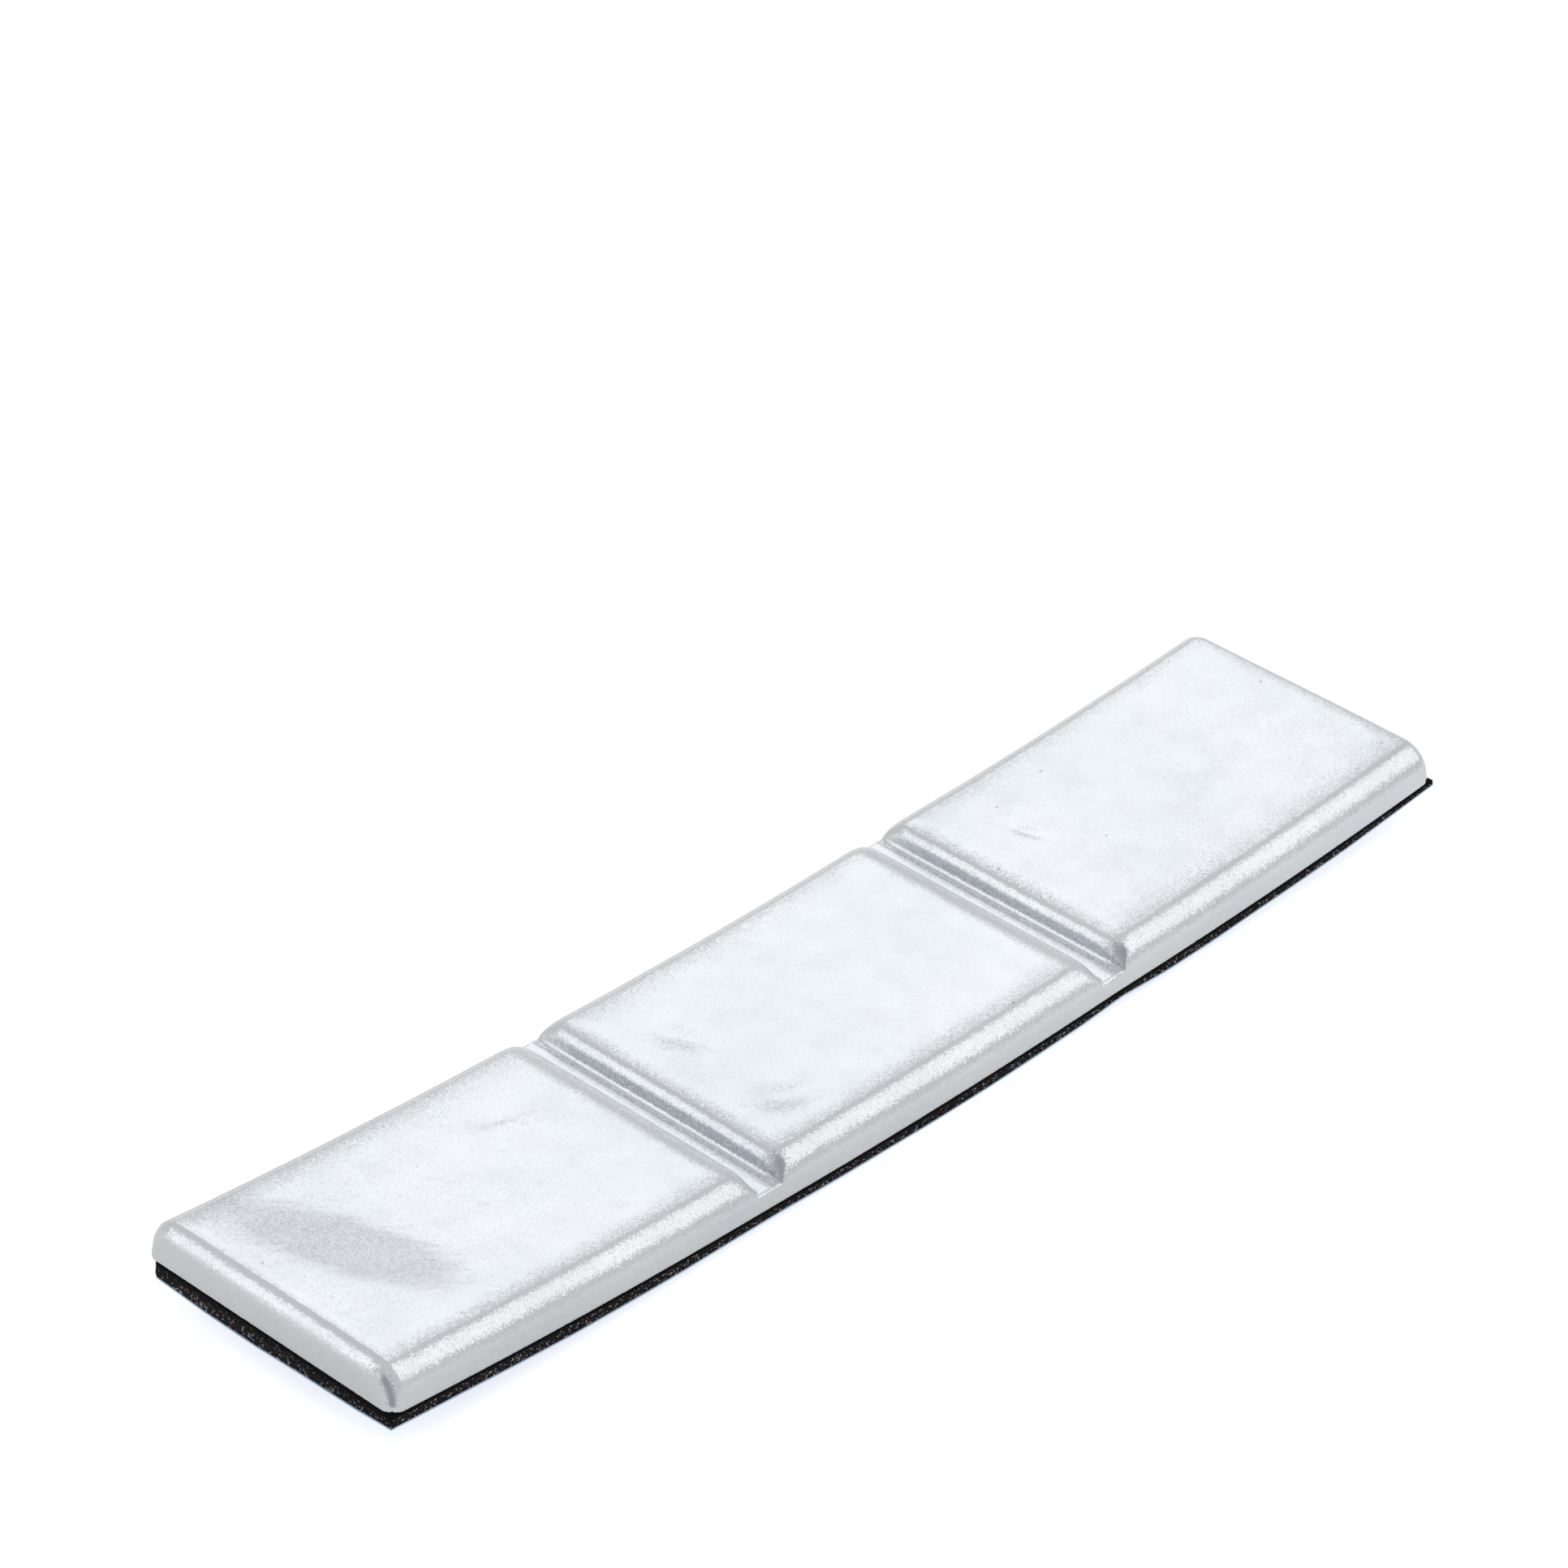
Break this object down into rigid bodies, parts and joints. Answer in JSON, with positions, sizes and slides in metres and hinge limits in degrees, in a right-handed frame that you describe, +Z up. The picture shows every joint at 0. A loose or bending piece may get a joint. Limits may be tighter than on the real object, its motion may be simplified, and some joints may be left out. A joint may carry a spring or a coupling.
{
  "type": "stick-on wheel balance weight",
  "caption": "Slightly curved cast strip of low blocks joined by thin break grooves, with foam tape and a release liner underneath, stuck inside a wheel rim to balance it.",
  "frame": {"origin": "centre of the bounding box at its bottom, which is the lowest line of the release liner under the middle block", "axes": "+X along the strip, +Y across it away from the tape's flush edge, +Z up out of the coated face"},
  "size_m": [0.084, 0.019, 0.0052],
  "materials": {
    "silver_coating": "satin silver coating with a fine metallic grain",
    "foam": "matt black open-cell foam",
    "liner": "thin pale blue film"
  },
  "bodies": {
    "root": {"weight_body": "silver_coating", "foam_tape": "foam", "release_liner": "liner"}
  },
  "joints": []
}
